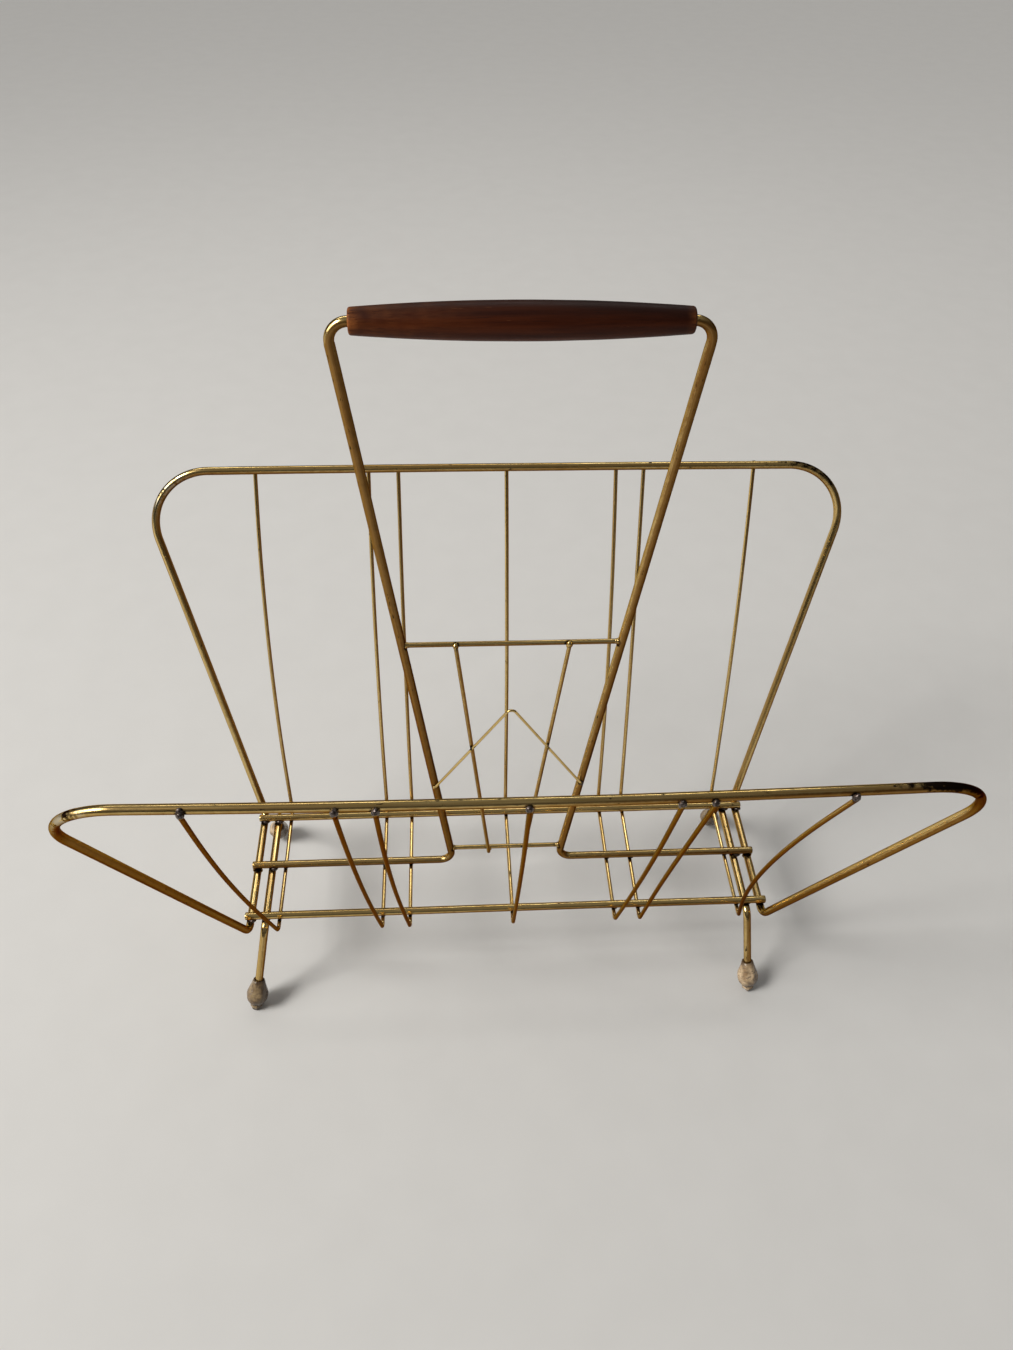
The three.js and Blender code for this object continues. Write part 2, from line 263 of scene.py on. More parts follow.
def brass_finish(name, around, clean_and_highlit=0.0):
    """Old brass plating. It is brightest on top and to the left and browner below and to the right:
    partly tarnish, partly painted shade and painted reflection. It has long drawn bands, dark
    nicks, scorched metal by the welds, and bare grey metal where the corners rub. Around is how
    many bands there are for each metre across the rod, and the last argument is how much less
    tarnished it is than the rest; it also paints it brighter, as a painted highlight."""
    shader = Shader(name)
    along = shader.attribute("along", "Vector")
    scorch = shader.attribute("scorch")
    wear_and_crease_shade = shader.attribute("wear_and_crease_shade")
    tarnish_and_reflection = shader.attribute("tarnish_and_reflection")
    bands = shader.grain(along, 4, around, 3, 0.55)
    drawn = shader.grain(along, 30, 2600)
    streaks = shader.grain(along, 6, 650)
    nicks = shader.grain(along, 240, 900)
    patches = shader.noise(along, 300, 3, 0.6)
    tarnish = 1 - clean_and_highlit

    # A cleaner finish lifts the level and thins the bands: less tarnish, and a painted highlight
    # that makes the brass brighter.
    unevenness = shader.span(patches, 0.2, 0.8, clean_and_highlit - 0.16, clean_and_highlit + 0.16)
    # Painted shade and painted reflection, with tarnish: the level falls on surfaces that face away
    # from the bright side, and the brass browns as it falls.
    level = shader.total(shader.bright_side(), unevenness, clamp=False)
    # The handle and the front's right-hand end are browned further: tarnish, with painted
    # reflection and painted shade.
    browning_inputs = {0: tarnish_and_reflection, 1: -TARNISH_AND_REFLECTION_BROWNS, 2: level}
    level = shader.add("ShaderNodeMath", browning_inputs, operation="MULTIPLY_ADD").outputs["Value"]
    browned = shader.span(level, 0.3, -0.25, 0, 0.9)
    banded = shader.span(bands, 0.48, 0.62, 0, 0.55 * tarnish)
    dulled = shader.total(browned, banded)

    ragged = shader.total(scorch, shader.span(patches, 0.3, 0.7, -0.3, 0.3))
    scorched = shader.span(ragged, 0.35, 0.7)
    grimy = shader.product(wear_and_crease_shade, shader.span(patches, 0.52, 0.58))
    streaked = shader.span(streaks, 0.58, 0.68, 0, 0.35 * tarnish)
    # Surfaces facing furthest from the bright side go near black: painted shade.
    blackened = shader.total(shader.span(level, -0.5, -0.95, 0, 0.5), scorched)
    blackened = shader.total(blackened, grimy)
    blackened = shader.total(blackened, streaked)
    nicked = shader.span(nicks, 0.69, 0.73)
    bared = shader.product(wear_and_crease_shade, shader.span(patches, 0.52, 0.46))

    colour = shader.mix(shader.span(drawn, 0.35, 0.65), BRASS_POLISHED, BRASS_WORN)
    colour = shader.mix(dulled, colour, BRASS_BROWN)
    colour = shader.mix(bared, colour, BARE_STEEL)
    colour = shader.mix(blackened, colour, BRASS_BLACK)
    colour = shader.mix(nicked, colour, BRASS_BLACK)

    dull = shader.span(shader.total(dulled, blackened), 0, 1, 0.16, 0.38)
    roughness = shader.total(dull, shader.product(nicked, 0.3))
    pits = shader.bump(nicks, 0.00012, 0.3)
    ridges = shader.bump(drawn, 0.00004, 0.35, pits)
    shader.set(Base_Color=colour, Metallic=1.0, Roughness=roughness, Normal=ridges)
    shader.set(Specular_Tint=BRASS_TINT)
    return shader.material


def weld_finish():
    """Lumpy grey weld metal with dark brown scale in patches."""
    shader = Shader("weld_metal")
    place = shader.add("ShaderNodeTexCoord").outputs["Object"]
    scale = shader.noise(place, 1100, 3, 0.6)
    grain = shader.noise(place, 3200)
    colour = shader.mix(shader.span(scale, 0.4, 0.62), WELD_SCALE, WELD_GREY)
    roughness = shader.span(grain, 0.3, 0.7, 0.2, 0.42)
    rough = shader.bump(grain, 0.0001, 0.5)
    shader.set(Base_Color=colour, Metallic=0.8, Roughness=roughness, Normal=rough)
    return shader.material


def wood_finish():
    """Dark stained hardwood, its grain along the grip, worn paler where hands and ends rub."""
    shader = Shader("grip_wood")
    along = shader.attribute("along", "Vector")
    wear_and_crease_shade = shader.attribute("wear_and_crease_shade")
    shade = shader.attribute("shade")
    wander = shader.grain(along, 9, 60, 3)
    sway = shader.add("ShaderNodeCombineXYZ", {"Y": wander, "Z": wander}).outputs[0]
    swaying = {0: sway, 1: GRAIN_SWAY, 2: along}
    bent = shader.add("ShaderNodeVectorMath", swaying, operation="MULTIPLY_ADD").outputs[0]
    grain = shader.grain(bent, 14, 300, 5, 0.6)
    pores = shader.grain(bent, 70, 2600)
    scuffs = shader.grain(along, 150, 900, 4, 0.7)
    scratches = shader.grain(along, 60, 1500, 3, 0.6)
    worn = shader.product(wear_and_crease_shade, shader.span(scuffs, 0.3, 0.55))

    colour = shader.mix(shader.span(grain, 0.3, 0.75), WOOD_DARK, WOOD_RED)
    colour = shader.mix(shader.span(pores, 0.6, 0.72, 0, 0.5), colour, WOOD_PORES)
    colour = shader.mix(shade, colour, WOOD_SHADED)
    colour = shader.mix(worn, colour, WOOD_WORN)
    colour = shader.mix(shader.span(scratches, 0.72, 0.76, 0, 0.5), colour, WOOD_SCRATCHED)

    satin = shader.span(scuffs, 0.35, 0.7, 0.42, 0.56)
    roughness = shader.total(satin, shader.product(worn, 0.15))
    grooves = shader.bump(pores, 0.00012, 0.4)
    swells = shader.bump(grain, 0.00025, 0.2, grooves)
    shader.set(Base_Color=colour, Roughness=roughness, Normal=swells, Specular_IOR_Level=0.14)
    return shader.material


def foot_finish(name, pale, deep):
    """Old glossy plastic, yellowed between a pale and a deep colour, with brown smears round it. It
    is painted darker below and on the side that the brass is darker on, and darker in its creases:
    painted shade."""
    shader = Shader(name)
    along = shader.attribute("along", "Vector")
    crease_shade = shader.attribute("wear_and_crease_shade")
    blotches = shader.grain(along, 150, 180)
    mottle = shader.grain(along, 600, 600)
    smears = shader.grain(along, 620, 330, 4, 0.6)
    # Painted shade on surfaces that face away from the bright side.
    shaded = shader.span(shader.bright_side(), 0.5, -0.5, 0, 0.85)

    colour = shader.mix(shader.span(blotches, 0.35, 0.65), pale, deep)
    colour = shader.mix(shader.span(mottle, 0.55, 0.7, 0, 0.35), colour, PLASTIC_MOTTLE)
    colour = shader.mix(shader.span(smears, 0.5, 0.64, 0, 0.75), colour, PLASTIC_SMEAR)
    colour = shader.mix(shaded, colour, PLASTIC_SHADED)
    # Painted shade in the creases.
    colour = shader.mix(crease_shade, colour, PLASTIC_CREASE_SHADE)

    roughness = shader.span(smears, 0.35, 0.7, 0.16, 0.34)
    grain = shader.bump(mottle, 0.00015, 0.25)
    dents = shader.bump(smears, 0.0007, 0.6, grain)
    shader.set(Base_Color=colour, Roughness=roughness, Normal=dents)
    return shader.material


def floor_finish():
    shader = Shader("floor_paint")
    place = shader.add("ShaderNodeTexCoord").outputs["Object"]
    colour = shader.mix(shader.noise(place, 30, 3), FLOOR_GREY, FLOOR_PALE)
    shader.set(Base_Color=colour, Roughness=0.75)
    return shader.material


# ---------------------------------------------------------------- meshes

def add_piece(name, vertices, faces, material, body, attributes=()):
    """A smooth-shaded mesh that rides on a body, kept inside the CAD model's box. The floor
    has no body. Each attribute has one number or one vector for each vertex."""
    mesh = bpy.data.meshes.new(name)
    places = np.array(vertices)
    if body is not None:
        places = np.clip(places, np.array(cad_box[0]), np.array(cad_box[1]))
    mesh.from_pydata(places.tolist(), [], faces)
    mesh.polygons.foreach_set("use_smooth", [True] * len(faces))
    for key, values in dict(attributes).items():
        values = np.asarray(values, np.float32)
        kind, field = ("FLOAT_VECTOR", "vector") if values.ndim == 2 else ("FLOAT", "value")
        mesh.attributes.new(key, kind, "POINT").data.foreach_set(field, values.ravel())
    mesh.materials.append(material)
    mesh.update()
    piece = bpy.data.objects.new(name, mesh)
    bpy.context.scene.collection.objects.link(piece)
    if body is not None:
        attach(piece, body)
    return piece


def loft_faces(ring_count, sides, first=0, closed_round=False):
    """Quads between rings of vertices, and a flat face on each end unless the loft closes on
    itself. First is the number of the first ring's first vertex."""
    faces = []
    spans = ring_count if closed_round else ring_count - 1
    for ring in range(spans):
        a = first + ring * sides
        b = first + ((ring + 1) % ring_count) * sides
        for side in range(sides):
            after = (side + 1) % sides
            faces.append((a + side, a + after, b + after, b + side))
    if not closed_round:
        faces.append(tuple(first + side for side in reversed(range(sides))))
        last = first + (ring_count - 1) * sides
        faces.append(tuple(last + side for side in range(sides)))
    return faces


def turn_about(axis):
    """Two unit vectors square to an axis and to each other. The axis, then the first, then
    the second are right-handed."""
    helper = Vector((0, 0, 1)) if abs(axis.z) < 0.9 else Vector((1, 0, 0))
    first = axis.cross(helper).normalized()
    return first, axis.cross(first).normalized()


def between(value, low, high):
    """How far a value is from low to high, kept to 0 to 1."""
    return min(1.0, max(0.0, (value - low) / (high - low)))


def wobble(point, size, depth):
    """A smooth random push of a point, up to about depth, that varies over about size."""
    return noise.noise_vector(Vector(point) / size) * depth


# ---------------------------------------------------------------- rods, read from the frame

END_REACH = 6 * MM              # a rod's end has no other ring of corners this near
LINE_STEP = 1.6 * MM
BEND_CUTS = 4                   # at least this many steps between two rings in a bend
STRAIGHT = 0.01                 # a smaller turn than this, in radians, is no bend


class Rod:
    """A round rod's centre line and radius, read from the rings of corners in its CAD node."""

    def __init__(self, node):
        self.node = node
        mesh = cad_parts[node].data
        corners = np.array([v.co for v in mesh.vertices])
        places, index = np.unique(corners, axis=0, return_inverse=True)
        index = index.ravel()
        near = [set() for _ in places]
        for polygon in mesh.polygons:
            ends = {int(index[v]) for v in polygon.vertices}
            for end in ends:
                near[end] |= ends
        tip = max(self.layers(near, {0})[-1])
        away = np.linalg.norm(places - places[tip], axis=1)
        cap = {int(i) for i in np.flatnonzero(away < END_REACH)}
        rings = [places[sorted(layer)] for layer in self.layers(near, cap)]
        centres = [ring.mean(axis=0) for ring in rings]
        self.radius = float(np.linalg.norm(rings[0] - centres[0], axis=1).mean())
        self.stations = []
        for i, (ring, centre) in enumerate(zip(rings, centres)):
            across = np.linalg.svd(ring - centre)[2][2]
            ahead = centres[min(i + 1, len(rings) - 1)] - centres[max(i - 1, 0)]
            tangent = Vector(across * math.copysign(1, float(across @ ahead)))
            self.stations.append((Vector(centre), tangent))
        self.points, self.tangents, self.curving = self.smooth_line()
        steps = np.linalg.norm(np.diff(self.points, axis=0), axis=1)
        self.lengths = np.concatenate([[0], np.cumsum(steps)])

    @staticmethod
    def layers(near, start):
        """Sets of corners, each one step further from the start than the one before."""
        found = [start]
        seen = set(start)
        while True:
            following = set().union(*(near[i] for i in found[-1])) - seen
            if not following:
                return found
            found.append(following)
            seen |= following

    def smooth_line(self):
        """Even points along the stations, rounded where the rod bends, with the way ahead at
        each point, and a vector into the bend that is longer the tighter the bend is."""
        points, tangents, curving = [], [], []
        for (p, t), (q, u) in zip(self.stations, self.stations[1:]):
            length = (q - p).length
            turn = t.angle(u, 0.0)
            bends = turn > STRAIGHT
            count = max(math.ceil(length / LINE_STEP), BEND_CUTS if bends else 1)
            inward = t.cross(u).cross(t).normalized() * (turn / length) if bends else Vector()
            reach = length * (1 + turn * turn / 24)
            for k in range(count):
                s = k / count
                point = (
                    p * (2 * s**3 - 3 * s**2 + 1) + t * reach * (s**3 - 2 * s**2 + s)
                    + q * (3 * s**2 - 2 * s**3) + u * reach * (s**3 - s**2)
                )
                points.append(point)
                tangents.append(t.lerp(u, s).normalized())
                curving.append(inward)
        points.append(self.stations[-1][0])
        tangents.append(self.stations[-1][1])
        curving.append(Vector())
        return np.array(points), np.array(tangents), np.array(curving)


FRAME_NODES = ["front_frame_rod", "back_frame_rod"]
ROD_NODES = (
    FRAME_NODES
    + ["leg_rod_left", "leg_rod_right", "front_floor_bar", "rear_floor_bar", "handle_rod"]
)
WIRE_NODES = (
    [f"basket_wire_{i}" for i in range(1, 8)]
    + ["divider_top_bar", "divider_bottom_bar", "divider_wire_left", "divider_wire_right"]
    + ["divider_chevron"]
)
rods = {node: Rod(node) for node in ROD_NODES + WIRE_NODES}

# ---------------------------------------------------------------- where rods touch

TOUCH = 0.9 * MM                # rods nearer than this are welded
SAME_WELD = 9 * MM
LAP_REACH = 3.3 * MM            # a thin rod that ends this near a weld is welded by its end
THIN = 2 * MM                   # a rod of a smaller radius than this is thin
AIMED = 0.7                     # the cosine of the most that a butted rod may miss by
UPPER_ENDS = 150 * MM           # the divider wires' upper ends are above this, the lower below


def welds_between(a, b):
    """Where two rods touch: the index on each, for every separate place."""
    gaps = np.linalg.norm(a.points[:, None] - b.points[None], axis=2) - a.radius - b.radius
    found = []
    for i, j in sorted(map(tuple, np.argwhere(gaps < TOUCH)), key=lambda pair: gaps[pair]):
        if all(np.linalg.norm(a.points[i] - a.points[k]) > SAME_WELD for k, _ in found):
            found.append((int(i), int(j)))
    return found


def weld_point(a, i, b, j):
    """The middle of the contact between two rods."""
    return (a.points[i] * b.radius + b.points[j] * a.radius) / (a.radius + b.radius)


def tip_shows(rod, tip):
    """Whether a thin rod's tip is left bare past its weld: at the back rail and the lower bar."""
    if rod.node.startswith("divider_wire"):
        return tip.z < UPPER_ENDS
    return rod.node.startswith("basket_wire") and tip.y > 0


def is_brazed(rod, index):
    """Whether a thin rod's end is held by bright braze, as the divider's are."""
    if rod.node == "divider_chevron":
        return rod.points[index][0] < 0
    return rod.node.startswith("divider_wire")


def points_into(rod, index, other, other_index):
    """Whether a rod ends here, aimed at the other rod."""
    if index not in (0, len(rod.points) - 1):
        return False
    toward = other.points[other_index] - rod.points[index]
    return abs(float(toward @ rod.tangents[index])) > AIMED * float(np.linalg.norm(toward))


def ends_beside(rod, index):
    """Whether a thin rod ends within reach of this point."""
    left = min(rod.lengths[index], rod.lengths[-1] - rod.lengths[index])
    return rod.radius < THIN and left < LAP_REACH


names = list(rods)
welds = [
    (rods[first], i, rods[second], j)
    for n, first in enumerate(names)
    for second in names[n + 1:]
    for i, j in welds_between(rods[first], rods[second])
]
weld_places = np.array([weld_point(*weld) for weld in welds])
weld_sizes = np.array([min(a.radius, b.radius) for a, _, b, _ in welds])

# ---------------------------------------------------------------- building the rods

ROD_SIDES = 28
WIRE_SIDES = 18
END_ROUND = 0.4 * MM            # how much is rounded off a cut end
FLATTENING = 0.16               # how much a bend flattens a rod, for its tightness
MOST_FLATTENED = 0.07
BULGE = 0.4                     # the part of the flattening that comes out at the sides
LINE_WANDER = 0.12 * MM         # how far the centre line wanders from the CAD's
WANDER_SIZE = 90 * MM
SURFACE_PUSH = 0.01             # how uneven the surface is, for each unit of radius
SURFACE_SIZE = 6 * MM

SCORCH_REACH = 2.4 * MM         # how far from a weld's edge the brass is blackened
CUT_SCORCH = 0.4                # how blackened the cut ends are
CORNER_X = 190 * MM             # the left-hand corners are rubbed bare from here outwards
CORNER_FADE = 12 * MM
CORNER_DEPTH = 30 * MM          # down to this far below the rail
CORNER_LEAN = 0.6               # the sides of a corner that face this far inwards stay brass
BURNT_X = 156 * MM              # the right-hand corners are blackened from here outwards
BURNT_FADE = 30 * MM
BURNT_DEPTH = 20 * MM
BURNT_AT_BACK = 0.72            # the back corner's share of the front one's blackening
FRONT_BROWNED = (-10 * MM, 30 * MM)    # Y where full browning ends, and where none is left
FULL_BROWNING_X = 0.6                # the share of the half width where browning is full


def ring_places(rod):
    """Where the rings of a rod's tube go: the index on its line, how far along from there, and
    how much of the radius is left."""
    last = len(rod.points) - 1
    rounded = 1 - END_ROUND / rod.radius
    near_rounded = 1 - 0.3 * END_ROUND / rod.radius
    start = [(0, 0.0, rounded), (0, 0.3 * END_ROUND, near_rounded), (0, END_ROUND, 1.0)]
    end = [(last, -back, size) for _, back, size in reversed(start)]
    return start + [(i, 0.0, 1.0) for i in range(1, last)] + end


def tarnish_and_reflection_at(rod, place):
    """How much browner a rod is here, from 0 to 1: the handle, and the front's right-hand end. This
    browning is partly tarnish and partly painted reflection and painted shade.
    """
    if rod.node == "handle_rod":
        return 1.0
    in_front = 1 - between(place.y, *FRONT_BROWNED)
    return between(place.x, 0, FULL_BROWNING_X * cad_box[1].x) * in_front


def corner_wear(place, rail_height):
    """How bare a left-hand corner is here and how burnt a right-hand one is, from 0 to 1."""
    above_rail = place.z - rail_height
    bare = between(-place.x, CORNER_X, CORNER_X + CORNER_FADE)
    bare *= between(above_rail, -CORNER_DEPTH, -0.5 * CORNER_DEPTH)
    burnt = between(place.x, BURNT_X, BURNT_X + BURNT_FADE)
    share = 1.0 if place.y < 0 else BURNT_AT_BACK
    burnt *= between(above_rail, -BURNT_DEPTH, -0.5 * BURNT_DEPTH) * share
    return bare, burnt


def build_rod(rod, sides, material, start):
    """A tube along a rod's centre line: flattened a little in its bends, softly uneven, and
    rounded at its cut ends. Start keeps one rod's pattern apart from the next one's."""
    side, _ = turn_about(Vector(rod.tangents[0]))
    vertices, along, scorch, wear_and_crease_shade, tarnish_and_reflection = [], [], [], [], []
    places = ring_places(rod)
    rail_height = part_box(FRAME_NODES[0])[1].z - rods[FRAME_NODES[0]].radius
    for i, shift, size in places:
        tangent = Vector(rod.tangents[i])
        centre = Vector(rod.points[i]) + tangent * shift
        side = (side - tangent * side.dot(tangent)).normalized()
        other = tangent.cross(side)
        inward = Vector(rod.curving[i])
        squeeze = min(inward.length * rod.radius * FLATTENING, MOST_FLATTENED)
        cut = CUT_SCORCH if size < 1 else 0.0
        bare, burnt = corner_wear(centre, rail_height)
        tarnish_and_reflection_here = tarnish_and_reflection_at(rod, centre)
        centre += wobble(centre, WANDER_SIZE, LINE_WANDER)
        for k in range(sides):
            angle = 2 * math.pi * k / sides
            outward = side * math.cos(angle) + other * math.sin(angle)
            reach = rod.radius * size
            if squeeze:
                lean = outward.dot(inward.normalized())
                reach *= 1 - squeeze * lean * lean + BULGE * squeeze * (1 - lean * lean)
            place = centre + outward * reach
            place += outward * (noise.noise(place / SURFACE_SIZE) * SURFACE_PUSH * rod.radius)
            vertices.append(place)
            along.append((
                start + rod.lengths[i], rod.radius * math.cos(angle), rod.radius * math.sin(angle),
            ))
            tarnish_and_reflection.append(tarnish_and_reflection_here)
            from_weld = (np.linalg.norm(weld_places - np.array(place), axis=1) - weld_sizes).min()
            warmth = 1 - between(from_weld, 0, SCORCH_REACH)
            scorch.append(max(warmth, cut, burnt * (0.5 + 0.5 * outward.z)))
            wear_and_crease_shade.append(bare * min(1.0, max(0.0, CORNER_LEAN - outward.x)))
    piece = add_piece(f"brass_{rod.node}", vertices, loft_faces(len(places), sides), material,
                      "frame", {"along": along, "scorch": scorch, "wear_and_crease_shade": wear_and_crease_shade, "tarnish_and_reflection": tarnish_and_reflection})
    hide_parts(rod.node)
    return rod.lengths[-1]


# ---------------------------------------------------------------- weld beads

BEAD_SIDES = 20
BEAD_RINGS = 12
POLE_GAP = 0.4                  # how far the first ring is from the pole, in rings
BEAD_NOISE = [(1.8 * MM, 0.2), (0.8 * MM, 0.04)]    # its size, and its push for each unit of radius

# A bead's three radii, across the thin rod, toward the other one and along the thin rod, for
# each unit of the thin rod's radius.
BEAD_BY_TIP = (1.3, 1.2, 1.2)
BEAD_OVER_TIP = (1.45, 1.35, 1.95)
BEAD_CREPT = (1.35, 1.2, 1.7)
SINK = 0.55                     # and how far its middle is from the thin rod's, toward the other
BARE_TIP_BACK = 0.9             # how far a bead by a bare tip is back from the contact
BARE_TIP_ASIDE = 0.7            # and to the side, on the divider
BEAD_SPREAD = (0.96, 1.1)       # the least and most that a bead is scaled by

# How far a bead's middle is past the tip, for each unit of radius. The rest stop short of it.
OVER_THE_END = {"divider_wire_left": 0.1, "divider_wire_right": 0.1, "divider_chevron": 0.2}
SHORT_OF_THE_END = -0.4

# How far a second bead has crept round the front rail.
CREEP = {"basket_wire_1": 3.2 * MM, "basket_wire_2": 1.6 * MM, "basket_wire_3": 1.4 * MM}

# Millimetres past a rod's end, and the collar's radius there for each unit of the rod's.
COLLAR_OUTLINE = [(-1.2, 0.95), (-0.9, 1.02), (-0.4, 1.08), (0.0, 1.15), (0.4, 1.28), (0.9, 1.35)]
COLLAR_END = 0.8                # its radius where it ends, inside the other rod
COLLAR_STOP = 0.6               # how far it stops before that rod's centre line, in its radii
COLLAR_NOISE = (1.5 * MM, 0.15 * MM)
COLLAR_SCORCH = 0.2

# A weld where two rods cross, for each unit of the thin rod's radius. Pairs are the least
# and the most.
CROSSING_SIZE = (0.95, 1.2)
CROSSING_SHARE = (0.85, 1.1)    # its second radius, as a share of its first
CROSSING_THICKNESS = 0.66
CROSSING_ALONG = (0.5, 0.9)     # how far it is from the contact, along the thick rod
CROSSING_ASIDE = (-0.4, 0.4)


class Beads:
    """Weld beads or braze collars, gathered into one mesh."""

    def __init__(self):
        self.vertices = []
        self.faces = []

    def lump(self, centre, axes, radii):
        """An uneven rounded lump. Its three axes are unit vectors, with a radius for each."""
        first = len(self.vertices)
        u, v, w = axes
        a, b, c = radii
        for ring in range(BEAD_RINGS):
            tilt = math.pi * (ring + POLE_GAP) / (BEAD_RINGS - 1 + 2 * POLE_GAP)
            for k in range(BEAD_SIDES):
                angle = 2 * math.pi * k / BEAD_SIDES
                flat = u * (a * math.cos(angle)) + v * (b * math.sin(angle))
                place = centre + flat * math.sin(tilt) - w * (c * math.cos(tilt))
                push = Vector()
                for size, depth in BEAD_NOISE:
                    push += wobble(place, size, depth)
                self.vertices.append(place + push * min(radii))
        self.faces += loft_faces(BEAD_RINGS, BEAD_SIDES, first)

    def butt(self, rod, index, other, other_index):
        """A low collar of braze where a rod's end meets the side of another rod."""
        tip = Vector(rod.points[index])
        outward = Vector(rod.tangents[index]) * (1 if index else -1)
        depth = (Vector(other.points[other_index]) - tip).length - other.radius * COLLAR_STOP
        first, second = turn_about(outward)
        start = len(self.vertices)
        rings = [(z * MM, size) for z, size in COLLAR_OUTLINE] + [(depth, COLLAR_END)]
        for z, size in rings:
            for k in range(BEAD_SIDES):
                angle = 2 * math.pi * k / BEAD_SIDES
                direction = first * math.cos(angle) + second * math.sin(angle)
                place = tip + outward * z + direction * rod.radius * size
                self.vertices.append(place + wobble(place, *COLLAR_NOISE))
        self.faces += loft_faces(len(rings), BEAD_SIDES, start)

    def lap(self, rod, index, other, other_index):
        """A round bead where a thin rod's end lies against another rod, over its tip or by it."""
        end = 0 if index < len(rod.points) / 2 else len(rod.points) - 1
        tip = Vector(rod.points[end])
        ahead = Vector(rod.tangents[end]) * (1 if end else -1)
        middle = Vector(other.points[other_index])
        touching = Vector(rod.points[index])
        toward = middle - touching
        toward = (toward - ahead * toward.dot(ahead)).normalized()
        across = ahead.cross(toward)
        axes = (across, toward, ahead)
        r = rod.radius
        size = random.uniform(*BEAD_SPREAD)
        if tip_shows(rod, tip):
            beside = Vector()
            if rod.node in OVER_THE_END:
                beside = across * math.copysign(BARE_TIP_ASIDE * r, across.x)
            centre = touching + toward * SINK * r - ahead * BARE_TIP_BACK * r + beside
            self.lump(centre, axes, [share * r * size for share in BEAD_BY_TIP])
            return
        over = OVER_THE_END.get(rod.node, SHORT_OF_THE_END)
        centre = tip + toward * SINK * r + ahead * over * r
        self.lump(centre, axes, [share * r * size for share in BEAD_OVER_TIP])
        creep = CREEP.get(rod.node, 0) if tip.y < 0 else 0
        if creep:
            angle = creep / (other.radius + r)
            spoke = -toward * math.cos(angle) + ahead * math.sin(angle)
            self.lump(middle + spoke * other.radius, axes, [share * r for share in BEAD_CREPT])

    def crossing(self, a, i, b, j):
        """A squeezed lump of weld in a corner between two rods that cross."""
        thin, index, thick, other = (a, i, b, j) if a.radius < b.radius else (b, j, a, i)
        r = thin.radius
        apart = (Vector(thick.points[other]) - Vector(thin.points[index])).normalized()
        along = Vector(thick.tangents[other])
        along *= math.copysign(1, along.x + 0.5 * along.y)
        across = apart.cross(along)
        size = r * random.uniform(*CROSSING_SIZE)
        middle = Vector(weld_point(a, i, b, j)) + along * r * random.uniform(*CROSSING_ALONG)
        middle += across * r * random.uniform(*CROSSING_ASIDE)
        radii = (size, size * random.uniform(*CROSSING_SHARE), CROSSING_THICKNESS * r)
        self.lump(middle, (along, across, apart), radii)


def build_welds(weld_metal, brass):
    beads = Beads()
    collars = Beads()
    for a, i, b, j in welds:
        if points_into(b, j, a, i):
            collars.butt(b, j, a, i)
        elif points_into(a, i, b, j):
            collars.butt(a, i, b, j)
        elif ends_beside(b, j):
            metal = collars if is_brazed(b, j) else beads
            metal.lap(b, j, a, i)
        else:
            beads.crossing(a, i, b, j)
    piece = add_piece("weld_beads", beads.vertices, beads.faces, weld_metal, "frame")
    places = collars.vertices
    plain = [0.0] * len(places)
    piece = add_piece("braze_collars", places, collars.faces, brass, "frame", {
        "along": places, "scorch": [COLLAR_SCORCH] * len(places), "wear_and_crease_shade": plain, "tarnish_and_reflection": plain,
    })


# ---------------------------------------------------------------- grip

GRIP_SIDES = 72
GRIP_ARC_STEPS = 6              # round the corner of each end
GRIP_SWELL_STEPS = 60           # from the middle to each end
BORE_MOUTH = 4 * MM             # the bore's first ring is this far in
BORE_EDGE = 0.25 * MM           # how much the edge of the bore is rounded
GRIP_UNEVEN = 0.006             # how uneven its surface is, for each unit of radius
GRIP_SWELLS = 14 * MM
WEAR_DEPTH = 5 * MM             # the ends have worn paler this far in
RIGHT_WEAR = 0.35               # how worn the right-hand end is, where the left is 1
FAINT_DEPTH = 60 * MM           # the left-hand end has faint wear this far in
FAINT_WEAR = 0.25
WEAR_PATCHES = 5 * MM
SHADE_START = 0.3               # the top is darker above this sine of the angle round
RIGHT_SHADE = 0.45              # how much darker the right-hand end is
MOST_SHADE = 0.85


